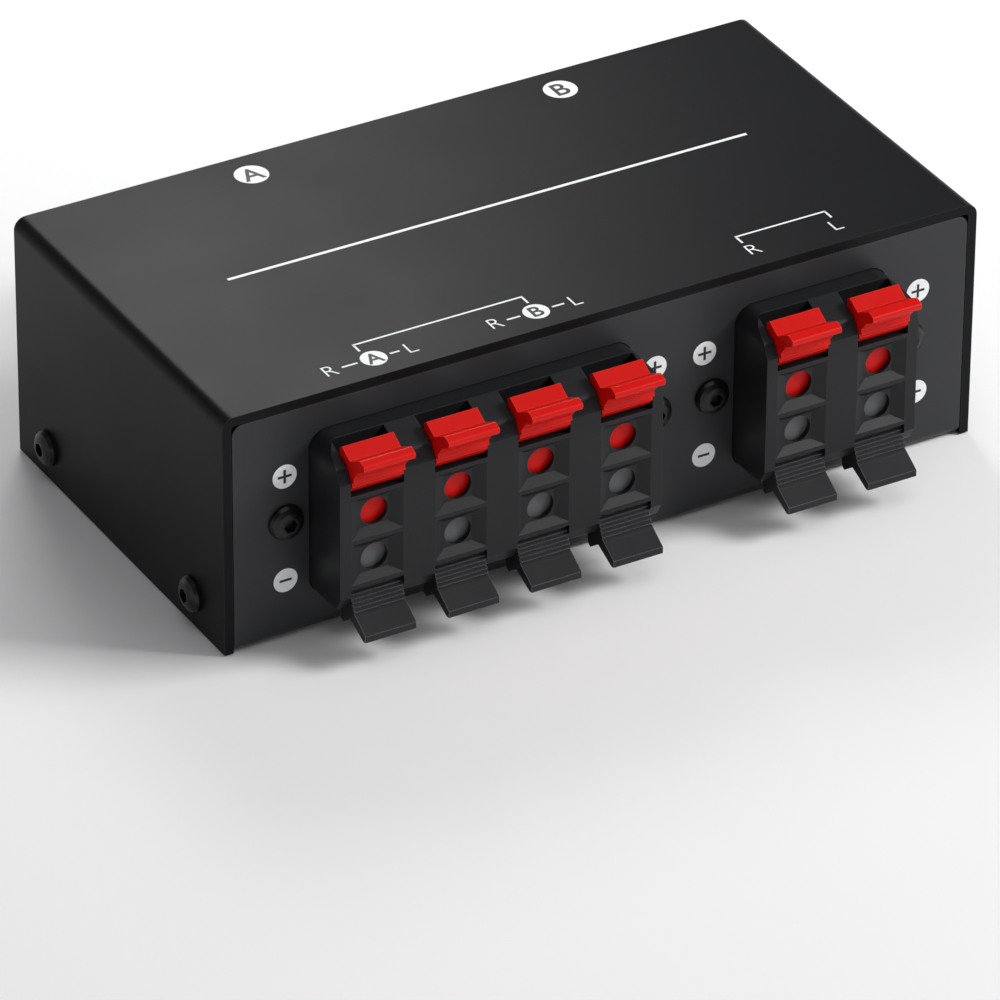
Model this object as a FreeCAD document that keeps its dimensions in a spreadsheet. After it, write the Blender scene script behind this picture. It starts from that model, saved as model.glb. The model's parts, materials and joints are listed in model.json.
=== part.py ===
import FreeCAD, Part
import math
import os
import re
import Sketcher

# A speaker selector box: folded steel chassis and cover, two spring lever
# terminal housings on the rear panel and two bat toggle switches in front.
# Frame: millimetres, +Z up, +X across, toggles on -Y, terminals on +Y.
# Origin: the middle of the chassis underside.

os.makedirs("parts", exist_ok=True)
doc = FreeCAD.newDocument("SpeakerSelector")
# Driving sizes, in millimetres and degrees
SIZES = {
    # Enclosure
    "box_width": 129.0,  # outside of the cover, X
    "box_depth": 66.2,  # over both panels, Y
    "box_height": 40.5,  # chassis underside to cover top, Z
    "cover_sheet": 1.5,  # cover steel
    "cover_bend": 2.0,  # cover outer bend radius
    "seam_gap": 0.16,  # panel edge to cover inside
    "chassis_sheet": 1.2,  # chassis steel
    "chassis_bend": 1.8,  # chassis outer bend radius
    "panel_corner": 1.8,  # upper corners of both panels
    "flange_height": 10.0,  # side flange for the cover screws
    "flange_length": 58.0,  # side flange, Y
    "relief_width": 2.4,  # bend relief notch
    "side_screw_span": 46.6,  # between the two screws of a side
    "side_screw_z": 5.5,  # cover screw height

    # Fasteners, M3
    "screw_hole": 3.3,  # clearance hole diameter
    "screw_shank": 3.0,  # thread diameter
    "screw_head": 5.7,  # button head diameter
    "screw_head_tall": 1.65,  # button head height
    "screw_socket": 2.0,  # hex socket across flats
    "socket_deep": 1.0,  # hex socket depth
    "cover_screw_long": 6.0,  # under the head
    "terminal_screw_long": 9.0,  # under the head
    "nut_flats": 5.5,  # M3 nut across flats
    "nut_tall": 2.4,  # M3 nut height
    "thread_gap": 0.05,  # radial gap of a thread in its nut
    "clinch_wide": 6.0,  # clinch nut diameter
    "clinch_tall": 2.2,  # clinch nut height

    # Terminal housings; out means beyond the rear panel, up means off the middle
    "terminal_mid_z": 19.6,  # middle between red and black rows
    "terminal_pitch": 14.0,  # lever to lever
    "four_mid_x": 23.0,  # middle of the four way housing
    "two_mid_x": -35.4,  # middle of the two way housing
    "housing_margin": 12.4,  # housing width beyond the outer pitch
    "housing_out": 9.3,  # front face beyond the panel
    "housing_top": 14.6,  # top above the middle
    "housing_foot": 13.6,  # bottom below the middle
    "housing_corner": 3.0,  # outline corner radius
    "housing_back": 12.0,  # back of the housing inside the panel
    "shoulder_out": 3.0,  # where the top starts to slope
    "brow_out": 8.1,  # end of the slope
    "brow_drop": 2.1,  # fall of the slope
    "face_drop": 4.3,  # from the top to the flat face
    "cutout_gap": 0.15,  # panel cut-out round the housing
    "ear_thick": 2.0,  # mounting flange thickness
    "ear_edge": 3.7,  # flange beyond the screw
    "ear_rim": 1.8,  # flange above and below the housing
    "ear_screw": 10.2,  # screw beyond the outer lever
    "ear_screw_z": 20.2,  # terminal screw height
    "slot_width": 8.86,  # lever slot
    "slot_front": 8.0,  # lever slot starts, up
    "slot_back": 3.1,  # lever slot back edge, out
    "cavity_floor": 0.35,  # half of the wall between the rows
    "cavity_roof": 10.6,  # cavity height, up
    "cavity_end": 7.5,  # back of the front wall, out
    "funnel_low": 0.35,  # wire funnel lower edge, up
    "funnel_high": 7.3,  # wire funnel upper edge, up
    "funnel_width": 8.6,  # wire funnel width
    "funnel_deep": 1.0,  # wire funnel depth
    "funnel_lip": 0.05,  # funnel floor beyond the wire hole
    "wire_hole": 4.5,  # wire hole diameter
    "wire_up": 3.9,  # wire hole off the middle
    "pivot_out": -2.0,  # lever pivot, out
    "pivot_up": 1.5,  # lever pivot, up
    "trunnion": 2.0,  # pivot stub diameter
    "trunnion_long": 1.0,  # pivot stub beyond the cheek
    "trunnion_gap": 0.05,  # radial clearance in the slot
    "trunnion_end_gap": 0.15,  # end clearance in the slot
    "neck_width": 1.8,  # snap neck behind the pivot

    # Levers
    "lever_width": 8.5,  # lever head
    "cheek": 1.0,  # side cheek thickness
    "tongue_thick": 1.4,  # tongue over the wire hole
    "tongue_gap": 0.2,  # tongue to front wall and floor
    "notch": 1.2,  # wire notch radius in the tongue foot
    "stem_out": 8.6,  # stem front, out
    "stem_up": 8.6,  # stem foot, up
    "head_back": 5.4,  # back of the head, out
    "head_up": 15.1,  # top of the back plate, up
    "lip_out": 13.2,  # lip tip, out
    "lip_up": 15.0,  # lip tip, up
    "lip_round": 0.5,  # rounding of the lip
    "rib_step": 0.35,  # depth of a grip rib

    # Contact springs and back boards
    "strip": 0.4,  # spring strip thickness
    "strip_width": 5.0,  # spring strip width
    "strip_rise": 0.25,  # strip above the cavity floor
    "strip_wall_gap": 1.4,  # strip to the back board
    "strip_gap": 0.3,  # strip tip to the lever
    "strip_top": 9.0,  # upper leg, up
    "tag_width": 2.4,  # solder tag width
    "tag_up": 4.8,  # solder tag, up
    "tag_long": 4.0,  # solder tag beyond the board
    "board_thick": 1.6,  # phenolic board
    "board_inset": 0.3,  # board inside the housing outline
    "board_slot_gap": 0.25,  # round a tag
    "stake": 2.0,  # heat stake diameter
    "stake_up": 7.0,  # heat stake off the middle
    "stake_proud": 0.8,  # heat stake beyond the board
    "stake_gap": 0.1,  # radial gap round a stake

    # Toggle switches; out means beyond the front panel
    "toggle_x": 26.1,  # switch off the middle
    "toggle_z": 20.2,  # switch height
    "bush_wide": 12.0,  # threaded bushing diameter
    "bush_hole_gap": 0.2,  # radial gap in the panel
    "thread_end": 6.6,  # thread ends, out
    "collar_end": 7.6,  # collar ends, out
    "bush_front": 8.4,  # front of the bushing, out
    "bush_bevel": 0.5,  # front bevel
    "thread_pitch": 0.8,  # thread pitch
    "thread_deep": 0.4,  # thread depth
    "mouth_wide": 6.4,  # mouth diameter
    "mouth_out": 6.7,  # mouth, out
    "dish_wide": 10.0,  # dish diameter at the front
    "flare_wide": 9.4,  # bore diameter at the inner end
    "neck_wide": 11.0,  # staked neck in the frame
    "nut_across": 14.5,  # panel nut across flats
    "panel_nut_tall": 2.0,  # panel nut thickness
    "washer_thick": 0.8,  # lock washer thickness
    "washer_wide": 17.0,  # lock washer diameter
    "frame_back": 5.0,  # frame plate front, inside the panel
    "frame_thick": 1.5,  # frame plate
    "leg_thick": 0.8,  # frame legs
    "leg_width": 8.0,  # frame leg width
    "case_length": 28.0,  # switch case, X
    "case_width": 17.0,  # switch case, Z
    "case_deep": 14.0,  # switch case depth
    "case_wall": 1.4,  # switch case wall
    "base_thick": 2.5,  # terminal base
    "base_gap": 0.1,  # round the base
    "pivot_height": 4.0,  # toggle pivot, out
    "toggle_tilt": 15.0,  # lever tilt each way
    "ball_wide": 5.75,  # tip ball
    "ball_far": 22.4,  # tip ball from the pivot
    "bat_root": 1.6,  # bat radius at the mouth
    "bat_middle": 2.35,  # bat radius half way
    "bat_end": 2.72,  # bat radius at the groove
    "knuckle": 2.9,  # pivot ball radius
    "arm_radius": 1.7,  # lower arm radius
    "arm_long": 12.0,  # lower arm below the pivot
    "pin_radius": 0.8,  # pivot pin radius
    "pin_long": 9.4,  # pivot pin length
    "pin_press": 0.02,  # pin in the bushing
    "pin_run": 0.06,  # pin in the knuckle
    "plunger_radius": 1.0,  # plunger stem radius
    "plunger_run": 0.06,  # plunger in the arm
    "plunger_reach": 16.0,  # nose centre from the pivot
    "nose_radius": 1.3,  # plunger nose radius
    "nose_gap": 0.08,  # nose to the rocker
    "spring_wire": 0.25,  # plunger spring wire
    "rocker_far": 22.0,  # rocker pivot below the toggle pivot
    "rocker_tilt": 8.0,  # rocker tilt each way
    "cradle_half": 4.6,  # rocker cradle half length
    "cradle_width": 10.0,  # rocker cradle, Z
    "blade_half": 8.4,  # contact blade half length
    "blade_width": 2.8,  # contact blade width
    "blade_thick": 0.8,  # contact blade thickness
    "pole_half": 3.6,  # pole off the middle, Z
    "contact_half": 7.5,  # outer contact off the middle, X
    "contact_radius": 1.0,  # contact dome radius
    "contact_low": 1.25,  # contact top below the pivot
    "knife_half": 0.3,  # half of the pivot knife
    "knife_gap": 0.05,  # knife to blade
    "lug_thick": 0.8,  # terminal lug thickness
    "lug_width": 3.0,  # terminal lug width
    "lug_long": 7.0,  # terminal lug beyond the base
    "lead": 1.6,  # hook-up wire diameter
    "solder_gap": 0.1,  # wire end to lug
}

sheet = doc.addObject("Spreadsheet::Sheet", "Sizes")
aliases = list(SIZES)
for row, alias in enumerate(aliases, 1):
    sheet.set("A%d" % row, str(SIZES[alias]))
    sheet.setAlias("A%d" % row, alias)
doc.recompute()

WORD = re.compile(r"[a-z]+(?:_[a-z]+)*")


def tied(text):
    """Turn size names in a formula into sheet references."""
    def one(found):
        return "Sizes." + found.group(0) if found.group(0) in aliases else found.group(0)
    return WORD.sub(one, str(text))


def value(text):
    """Work out a formula now, in millimetres or degrees."""
    answer = sheet.evalExpression(tied(text))
    return float(getattr(answer, "Value", answer))


def bind(thing, prop, text):
    """Tie a property to the sheet."""
    thing.setExpression(prop, tied(text))


def settle():
    """Recompute until nothing waits."""
    doc.recompute()
    waiting = [item.Name for item in doc.Objects if "Touched" in item.State]
    if waiting:
        raise RuntimeError("not built: " + ", ".join(waiting))


def body(name):
    """Start a body for one piece."""
    piece = doc.addObject("PartDesign::Body", name)
    piece.Label = name
    return piece


def plane(piece, role):
    """Find an origin plane of a body."""
    return [item for item in piece.Origin.OriginFeatures if item.Role == role][0]


def outline(piece, role, shapes, lift="0"):
    """Sketch closed polygons and circles whose points are tied to the sheet.

    A polygon is a list of (across, up) formulas and a circle is a
    (across, up, radius) triple. Lift moves the sketch along its normal.
    """
    flat = piece.newObject("Sketcher::SketchObject", piece.Name + "_sketch")
    flat.AttachmentSupport = [(plane(piece, role), "")]
    flat.MapMode = "FlatFace"
    if lift != "0":
        bind(flat, "AttachmentOffset.Base.z", lift)
    for shape in shapes:
        first = flat.GeometryCount
        if isinstance(shape, tuple):
            across, up, radius = shape
            spot = FreeCAD.Vector(value(across), value(up), 0)
            flat.addGeometry(Part.Circle(spot, FreeCAD.Vector(0, 0, 1), value(radius)))
            pinned(flat, first, 3, across, up)
            ring = flat.addConstraint(Sketcher.Constraint("Radius", first, value(radius)))
            bind(flat, "Constraints[%d]" % ring, radius)
            continue
        count = len(shape)
        spots = [FreeCAD.Vector(value(a), value(b), 0) for a, b in shape]
        for i in range(count):
            flat.addGeometry(Part.LineSegment(spots[i], spots[(i + 1) % count]))
        for i in range(count):
            after = first + (i + 1) % count
            flat.addConstraint(Sketcher.Constraint("Coincident", first + i, 2, after, 1))
        for i in range(count):
            pinned(flat, first + i, 1, shape[i][0], shape[i][1])
    settle()
    return flat


def pinned(flat, item, end, across, up):
    """Fix one sketch point at a tied distance from the origin."""
    for kind, text in (("DistanceX", across), ("DistanceY", up)):
        rule = Sketcher.Constraint(kind, -1, 1, item, end, value(text))
        number = flat.addConstraint(rule)
        bind(flat, "Constraints[%d]" % number, text)


def rectangle(left, low, right, high):
    """Corner formulas of a rectangle."""
    return [(left, low), (right, low), (right, high), (left, high)]


def pad(piece, flat, length, side="One side", backward=False):
    """Add material to a body."""
    made = piece.newObject("PartDesign::Pad", piece.Name + "_pad")
    made.Profile = flat
    made.SideType = side
    made.Reversed = backward
    bind(made, "Length", length)
    settle()
    return made


def pocket(piece, flat, length, side="One side", backward=False, taper="0"):
    """Take material from a body, and make sure that some went."""
    before = piece.Shape.Volume
    made = piece.newObject("PartDesign::Pocket", piece.Name + "_pocket")
    made.Profile = flat
    made.SideType = side
    made.Reversed = backward
    bind(made, "Length", length)
    if taper != "0":
        bind(made, "TaperAngle", taper)
    settle()
    if piece.Shape.Volume > before - 1e-6:
        raise RuntimeError("a cut took nothing from " + piece.Name)
    return made


def funnel_cut(piece, wide, narrow):
    """Take a straight-sided funnel from a body, between two sketches."""
    before = piece.Shape.Volume
    made = piece.newObject("PartDesign::SubtractiveLoft", piece.Name + "_funnel")
    made.Profile = wide
    made.Sections = [narrow]
    made.Ruled = True
    settle()
    if piece.Shape.Volume > before - 1e-6:
        raise RuntimeError("a funnel took nothing from " + piece.Name)
    return made


def repeat(piece, features, pitch, count):
    """Copy features along X."""
    if count < 2:
        return
    row = piece.newObject("PartDesign::LinearPattern", piece.Name + "_row")
    row.Originals = features
    row.Direction = (plane(piece, "X_Axis"), [""])
    row.Occurrences = count
    bind(row, "Length", "%s * %d" % (pitch, count - 1))
    piece.Tip = row
    settle()


def round_edges(piece, radius, wanted):
    """Fillet the edges that a test picks."""
    names = []
    for number, edge in enumerate(piece.Shape.Edges):
        if wanted(edge):
            names.append("Edge%d" % (number + 1))
    if not names:
        raise RuntimeError("no edge to round on " + piece.Name)
    base = piece.Tip
    made = piece.newObject("PartDesign::Fillet", piece.Name + "_round")
    made.Base = (base, names)
    bind(made, "Radius", radius)
    settle()
    return made


def along(edge, axis):
    """Is the edge straight and along an axis?"""
    if edge.Curve.TypeId != "Part::GeomLine":
        return False
    return abs(getattr(edge.Curve.Direction, axis)) > 0.999


def near(number, text):
    """Is a coordinate at the place that a formula gives?"""
    return abs(number - value(text)) < 1e-3


def spun(name, points):
    """A body turned about its own Z axis, from (radius, height) formulas."""
    piece = body(name)
    flat = outline(piece, "XZ_Plane", [points])
    made = piece.newObject("PartDesign::Revolution", name + "_turn")
    made.Profile = flat
    made.ReferenceAxis = (flat, ["V_Axis"])
    made.Angle = 360
    settle()
    return piece


def moved(thing, across="0", deep="0", up="0"):
    """Tie the position of an object."""
    for letter, text in (("x", across), ("y", deep), ("z", up)):
        if text != "0":
            bind(thing, "Placement.Base." + letter, text)
    return thing


def rod(name, radius, start, length, across="0", deep="0"):
    """A cylinder that stands on Z."""
    made = doc.addObject("Part::Cylinder", name)
    bind(made, "Radius", radius)
    bind(made, "Height", length)
    return moved(made, across, deep, start)


def cone(name, low, high, start, length):
    """A cone frustum that stands on Z."""
    made = doc.addObject("Part::Cone", name)
    bind(made, "Radius1", low)
    bind(made, "Radius2", high)
    bind(made, "Height", length)
    return moved(made, up=start)


def ball(name, radius, up="0"):
    """A sphere on Z."""
    made = doc.addObject("Part::Sphere", name)
    bind(made, "Radius", radius)
    return moved(made, up=up)


def block(name, mid_x, mid_y, low, long, wide, tall):
    """A box centred in X and Y that stands on a height."""
    made = doc.addObject("Part::Box", name)
    bind(made, "Length", long)
    bind(made, "Width", wide)
    bind(made, "Height", tall)
    middle = "(%s) - (%s) / 2"
    return moved(made, middle % (mid_x, long), middle % (mid_y, wide), low)


def joined(name, things):
    """Fuse solids into one."""
    made = doc.addObject("Part::MultiFuse", name)
    made.Shapes = things
    return made


def less(name, base, tools):
    """Cut tools from a base."""
    tool = tools[0] if len(tools) == 1 else joined(name + "_tools", tools)
    made = doc.addObject("Part::Cut", name)
    made.Base = base
    made.Tool = tool
    return made


def together(name, things):
    """Keep separate solids in one node."""
    made = doc.addObject("Part::Compound", name)
    made.Links = things
    made.Label = name
    return made


def copy_at(source, across, deep, up, turn=None):
    """Place a linked copy."""
    made = doc.addObject("App::Link", source.Name + "_copy")
    made.setLink(source)
    if turn is not None:
        made.Placement = FreeCAD.Placement(FreeCAD.Vector(), turn)
    return moved(made, across, deep, up)


kept = []


def keep(thing):
    """Mark an object as a finished piece."""
    kept.append(thing)
    return thing


X = FreeCAD.Vector(1, 0, 0)
Y = FreeCAD.Vector(0, 1, 0)
Z = FreeCAD.Vector(0, 0, 1)
FRONT = FreeCAD.Rotation(X, 90)
REAR = FreeCAD.Rotation(X, -90)
RIGHT = FreeCAD.Rotation(Y, 90)
LEFT = FreeCAD.Rotation(Y, -90)

HALF_W = "box_width / 2"
HALF_D = "box_depth / 2"
PANEL_HALF = "(box_width / 2 - cover_sheet - seam_gap)"
PANEL_TOP = "(box_height - cover_sheet - seam_gap)"
REAR_IN = "(box_depth / 2 - chassis_sheet)"


def make_chassis():
    """Bottom, front panel and rear panel in one folded sheet with side flanges."""
    piece = body("chassis")
    section = [
        ("-box_depth / 2", "0"), (HALF_D, "0"), (HALF_D, PANEL_TOP), (REAR_IN, PANEL_TOP),
        (REAR_IN, "chassis_sheet"), ("-" + REAR_IN, "chassis_sheet"),
        ("-" + REAR_IN, PANEL_TOP), ("-box_depth / 2", PANEL_TOP)]
    pad(piece, outline(piece, "YZ_Plane", [section]), PANEL_HALF + " * 2", "Symmetric")
    corners = []
    for sign in ("-", ""):
        edge = sign + PANEL_HALF
        inner = sign + "(%s - relief_width)" % PANEL_HALF
        for face in ("-", ""):
            near_end = face + "flange_length / 2"
            far_end = face + "(box_depth / 2 - chassis_bend - 0.2)"
            corners.append(rectangle(inner, near_end, edge, far_end))
    pocket(piece, outline(piece, "XY_Plane", corners), "chassis_sheet", backward=True)
    for sign in ("-", ""):
        edge = sign + PANEL_HALF
        inner = sign + "(%s - chassis_sheet)" % PANEL_HALF
        side = [rectangle(inner, "0", edge, "flange_height")]
        pad(piece, outline(piece, "XZ_Plane", side), "flange_length", "Symmetric")
    edge_x = value(PANEL_HALF)
    inner_x = value(PANEL_HALF + " - chassis_sheet")
    edge_y = value(HALF_D)
    inner_y = value(REAR_IN)
    sheet_z = value("chassis_sheet")

    def outer_bend(edge):
        spot = edge.CenterOfMass
        if abs(spot.z) > 1e-3 or edge.Length < 20:
            return False
        if along(edge, "x"):
            return abs(abs(spot.y) - edge_y) < 1e-3
        return along(edge, "y") and abs(abs(spot.x) - edge_x) < 1e-3

    def inner_bend(edge):
        spot = edge.CenterOfMass
        if abs(spot.z - sheet_z) > 1e-3 or edge.Length < 20:
            return False
        if along(edge, "x"):
            return abs(abs(spot.y) - inner_y) < 1e-3
        return along(edge, "y") and abs(abs(spot.x) - inner_x) < 1e-3

    def panel_corner(edge):
        spot = edge.CenterOfMass
        return along(edge, "y") and near(spot.z, PANEL_TOP) and abs(abs(spot.x) - edge_x) < 1e-3

    round_edges(piece, "chassis_bend", outer_bend)
    round_edges(piece, "chassis_bend - chassis_sheet", inner_bend)
    round_edges(piece, "panel_corner", panel_corner)
    openings = []
    holes = []
    for mid, count in (("four_mid_x", 4), ("two_mid_x", 2)):
        half = "(terminal_pitch * %d + housing_margin) / 2 + cutout_gap" % (count - 1)
        low = "terminal_mid_z - housing_foot - cutout_gap"
        high = "terminal_mid_z + housing_top + cutout_gap"
        openings.append(rectangle("%s - (%s)" % (mid, half), low, "%s + %s" % (mid, half), high))
        reach = "(terminal_pitch * %d / 2 + ear_screw)" % (count - 1)
        for sign in ("-", "+"):
            holes.append(("%s %s %s" % (mid, sign, reach), "ear_screw_z", "screw_hole / 2"))
    rear = outline(piece, "XZ_Plane", openings + holes, "0 - box_depth / 2")
    pocket(piece, rear, "chassis_sheet * 2", "Symmetric")

    def cutout_corner(edge):
        spot = edge.CenterOfMass
        if not along(edge, "y") or spot.y < inner_y - 1 or abs(spot.x) > edge_x - 2:
            return False
        low = near(spot.z, "terminal_mid_z - housing_foot - cutout_gap")
        return low or near(spot.z, "terminal_mid_z + housing_top + cutout_gap")

    round_edges(piece, "housing_corner + cutout_gap", cutout_corner)
    bush = "bush_wide / 2 + bush_hole_gap"
    front = [("toggle_x", "toggle_z", bush), ("-toggle_x", "toggle_z", bush)]
    flat = outline(piece, "XZ_Plane", front, HALF_D)
    pocket(piece, flat, "chassis_sheet * 2", "Symmetric")
    side = []
    for sign in ("-", ""):
        side.append((sign + "side_screw_span / 2", "side_screw_z", "screw_hole / 2"))
    pocket(piece, outline(piece, "YZ_Plane", side), "box_width", "Symmetric")
    keep(piece)


def make_cover():
    """The folded lid: top and two sides."""
    piece = body("cover")
    inner = "(box_width / 2 - cover_sheet)"
    roof = "(box_height - cover_sheet)"
    section = [
        ("-box_width / 2", "0"), ("-" + inner, "0"), ("-" + inner, roof), (inner, roof),
        (inner, "0"), (HALF_W, "0"), (HALF_W, "box_height"), ("-box_width / 2", "box_height")]
    pad(piece, outline(piece, "XZ_Plane", [section]), "box_depth", "Symmetric")
    round_edges(piece, "cover_bend", lambda e: along(e, "y") and near(e.CenterOfMass.z, "box_height"))
    round_edges(piece, "cover_bend - cover_sheet", lambda e: along(e, "y") and near(e.CenterOfMass.z, roof))
    side = []
    for sign in ("-", ""):
        side.append((sign + "side_screw_span / 2", "side_screw_z", "screw_hole / 2"))
    pocket(piece, outline(piece, "YZ_Plane", side), "box_width + 2", "Symmetric")
    keep(piece)


def button_screw(name, long):
    """A button head screw on Z, its head above zero."""
    head = spun(name + "_head", [
        ("0", "0"), ("screw_head / 2", "0"), ("screw_head / 2", "screw_head_tall * 0.3"),
        ("screw_head * 0.45", "screw_head_tall * 0.62"), ("screw_head * 0.34", "screw_head_tall * 0.88"),
        ("screw_head * 0.24", "screw_head_tall"), ("0", "screw_head_tall")])
    socket = doc.addObject("Part::Prism", name + "_socket")
    socket.Polygon = 6
    bind(socket, "Circumradius", "screw_socket / 2 / cos(30)")
    bind(socket, "Height", "socket_deep * 2")
    moved(socket, up="screw_head_tall - socket_deep")
    shank = rod(name + "_shank", "screw_shank / 2", "0 - (%s)" % long, "%s + 0.2" % long)
    return less(name, joined(name + "_solid", [head, shank]), [socket])


def hex_nut(name, flats, bore, tall):
    """A hexagon nut on Z with its two faces slightly bevelled."""
    prism = doc.addObject("Part::Prism", name + "_prism")
    prism.Polygon = 6
    bind(prism, "Circumradius", "(%s) / 2 / cos(30)" % flats)
    bind(prism, "Height", tall)
    bevel = spun(name + "_bevel", [
        ("0", "0"), ("(%s) / 2" % flats, "0"), ("(%s) / 2 / cos(30)" % flats, "(%s) * 0.15" % tall),
        ("(%s) / 2 / cos(30)" % flats, "(%s) * 0.85" % tall), ("(%s) / 2" % flats, tall), ("0", tall)])
    both = doc.addObject("Part::Common", name + "_both")
    both.Base = prism
    both.Tool = bevel
    return less(name, both, [rod(name + "_bore", bore, "-1", "(%s) + 2" % tall)])


def make_side_screws():
    """Cover screws through the cover sides into clinch nuts on the flanges."""
    screw = button_screw("side_screw", "cover_screw_long")
    ring = rod("clinch_ring", "clinch_wide / 2", "0", "clinch_tall")
    nut = less("clinch", ring, [rod("clinch_bore", "screw_shank / 2 + thread_gap", "-1", "clinch_tall + 2")])
    screws = []
    nuts = []
    for sign, turn, back in (("", RIGHT, LEFT), ("-", LEFT, RIGHT)):
        for face in ("", "-"):
            deep = face + "side_screw_span / 2"
            screws.append(copy_at(screw, sign + "box_width / 2", deep, "side_screw_z", turn))
            seat = sign + "(%s - chassis_sheet)" % PANEL_HALF
            nuts.append(copy_at(nut, seat, deep, "side_screw_z", back))
    keep(together("cover_screws", screws))
    keep(together("clinch_nuts", nuts))


def make_terminal_fasteners():
    """Screws and nuts that hold both housings on the rear panel."""
    screw = button_screw("panel_screw", "terminal_screw_long")
    nut = hex_nut("panel_screw_nut", "nut_flats", "screw_shank / 2 + thread_gap", "nut_tall")
    screws = []
    nuts = []
    for mid, count in (("four_mid_x", 4), ("two_mid_x", 2)):
        reach = "(terminal_pitch * %d / 2 + ear_screw)" % (count - 1)
        for sign in ("-", "+"):
            across = "%s %s %s" % (mid, sign, reach)
            screws.append(copy_at(screw, across, HALF_D, "ear_screw_z", REAR))
            behind = REAR_IN + " - ear_thick - nut_tall"
            nuts.append(copy_at(nut, across, behind, "ear_screw_z", REAR))
    keep(together("terminal_screws", screws))
    keep(together("terminal_nuts", nuts))


def beyond(text):
    """A place beyond the rear panel as a Y formula."""
    return "box_depth / 2 + (%s)" % text


def make_housing(name, mid, count):
    """Moulded terminal housing: rounded block, ears, cavities, funnels, pivot slots."""
    piece = body(name)
    half = "(terminal_pitch * %d + housing_margin) / 2" % (count - 1)
    low = "0 - housing_foot"
    face = [rectangle("-" + half, low, half, "housing_top")]
    deep = "housing_back + housing_out"
    flat = outline(piece, "XZ_Plane", face, "0 - (%s)" % beyond("housing_out"))
    pad(piece, flat, deep)
    round_edges(piece, "housing_corner", lambda e: along(e, "y"))
    slope = []
    for top, sign in (("housing_top", ""), ("housing_foot", "-")):
        start = "%s(%s)" % (sign, top)
        brow = "%s(%s - brow_drop)" % (sign, top)
        flat_end = "%s(%s - face_drop)" % (sign, top)
        over = "%s(%s + 1)" % (sign, top)
        slope.append([
            (beyond("shoulder_out"), start), (beyond("brow_out"), brow),
            (beyond("housing_out"), flat_end), (beyond("housing_out + 1"), flat_end),
            (beyond("housing_out + 1"), over), (beyond("shoulder_out"), over)])
    pocket(piece, outline(piece, "YZ_Plane", slope), half + " * 2 + 2", "Symmetric")

    def brow_edge(edge):
        spot = edge.CenterOfMass
        if not along(edge, "x") or not near(spot.y, beyond("brow_out")):
            return False
        high = near(spot.z, "housing_top - brow_drop")
        return high or near(spot.z, "brow_drop - housing_foot")

    round_edges(piece, "brow_drop * 0.8", brow_edge)
    reach = "(terminal_pitch * %d / 2 + ear_screw + ear_edge)" % (count - 1)
    ears = [rectangle("-" + reach, "0 - housing_foot - ear_rim", reach, "housing_top + ear_rim")]
    pad(piece, outline(piece, "XZ_Plane", ears, "0 - (%s - ear_thick)" % REAR_IN), "ear_thick", backward=True)
    screw_at = "(terminal_pitch * %d / 2 + ear_screw)" % (count - 1)
    up = "ear_screw_z - terminal_mid_z"
    drill = [("-" + screw_at, up, "screw_hole / 2"), (screw_at, up, "screw_hole / 2")]
    flat = outline(piece, "XZ_Plane", drill, "0 - (%s - ear_thick)" % REAR_IN)
    pocket(piece, flat, "ear_thick * 3", "Symmetric")
    first = "0 - terminal_pitch * %d / 2" % (count - 1)
    rooms = []
    slots = []
    for sign in ("", "-"):
        floor = sign + "cavity_floor"
        roof = sign + "cavity_roof"
        rooms.append([
            (beyond("0 - housing_back - 1"), floor), (beyond("cavity_end"), floor),
            (beyond("cavity_end"), sign + "slot_front"), (beyond("housing_out + 2"), sign + "slot_front"),
            (beyond("housing_out + 2"), sign + "(housing_top + 2)"),
            (beyond("slot_back"), sign + "(housing_top + 2)"),
            (beyond("slot_back"), roof), (beyond("0 - housing_back - 1"), roof)])
        neck_low = "%s(pivot_up - neck_width / 2)" % sign
        neck_high = "%s(pivot_up + neck_width / 2)" % sign
        slots.append(rectangle(beyond("0 - housing_back - 1"), neck_low, beyond("pivot_out"), neck_high))
    room = pocket(piece, outline(piece, "YZ_Plane", rooms, first), "slot_width", "Symmetric")
    span = "lever_width + trunnion_long * 2 + trunnion_end_gap * 2"
    neck = pocket(piece, outline(piece, "YZ_Plane", slots, first), span, "Symmetric")
    seats = []
    wires = []
    for sign in ("", "-"):
        seats.append((beyond("pivot_out"), sign + "pivot_up", "trunnion / 2 + trunnion_gap"))
        wires.append((first, sign + "wire_up", "wire_hole / 2"))
    seat = pocket(piece, outline(piece, "YZ_Plane", seats, first), span, "Symmetric")
    front = "0 - (%s)" % beyond("housing_out")
    funnels = []
    floor = "0 - (%s)" % beyond("housing_out - funnel_deep")
    for sign in ("", "-"):
        left = first + " - funnel_width / 2"
        right = first + " + funnel_width / 2"
        mouth = [rectangle(left, sign + "funnel_low", right, sign + "funnel_high")]
        wide = outline(piece, "XZ_Plane", mouth, front)
        half = "(wire_hole / 2 + funnel_lip)"
        low = "%s(wire_up - %s)" % (sign, half)
        high = "%s(wire_up + %s)" % (sign, half)
        throat = [rectangle("%s - %s" % (first, half), low, "%s + %s" % (first, half), high)]
        funnels.append(funnel_cut(piece, wide, outline(piece, "XZ_Plane", throat, floor)))
    flat = outline(piece, "XZ_Plane", wires, front)
    wire = pocket(piece, flat, "housing_out - cavity_end + 1", backward=True)
    repeat(piece, [room, neck, seat] + funnels + [wire], "terminal_pitch", count)
    stakes = []
    for number in range(count - 1):
        across = "terminal_pitch * (%d - %d / 2)" % (number, count - 2)
        for sign in ("", "-"):
            stakes.append((across, sign + "stake_up", "stake / 2"))
    flat = outline(piece, "XZ_Plane", stakes, "0 - (%s)" % beyond("0 - housing_back - 0.0"))
    pad(piece, flat, "board_thick + stake_proud")
    moved(piece, mid, "0", "terminal_mid_z")
    keep(piece)


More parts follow.
